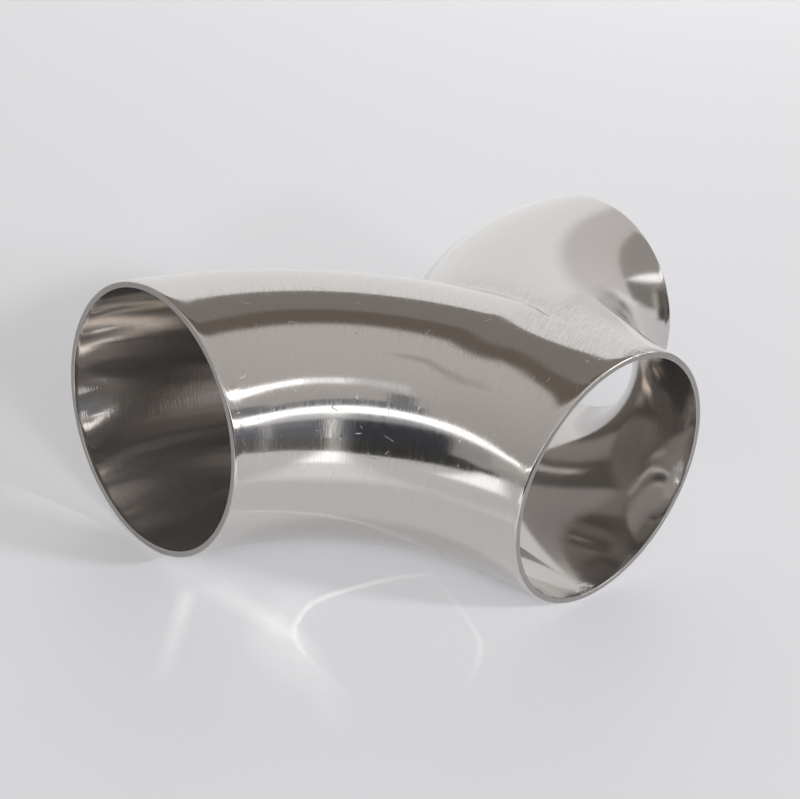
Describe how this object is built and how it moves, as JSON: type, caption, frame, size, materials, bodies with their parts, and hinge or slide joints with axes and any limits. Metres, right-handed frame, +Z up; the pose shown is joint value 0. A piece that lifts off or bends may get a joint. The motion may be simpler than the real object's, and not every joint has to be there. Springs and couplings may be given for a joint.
{
  "type": "y-fitting",
  "caption": "Polished tube Y-fitting: two mitred sweep bends welded together on one shared port, with plain square ends for butt welding.",
  "frame": {"origin": "centre of the bounding box's footprint, on the surface that the fitting lies on", "axes": "+Z up; -Y out of the shared port; +X out of the right port and -X out of the left port; the middle plane of the weld is X = 0"},
  "size_m": [0.178, 0.127, 0.0761],
  "materials": {
    "polished_stainless": "mirror-polished austenitic stainless steel with fine polishing lines round the tube, bright-drawn bore and square-cut rims"
  },
  "bodies": {
    "root": {"y_fitting": "polished_stainless"}
  },
  "joints": []
}
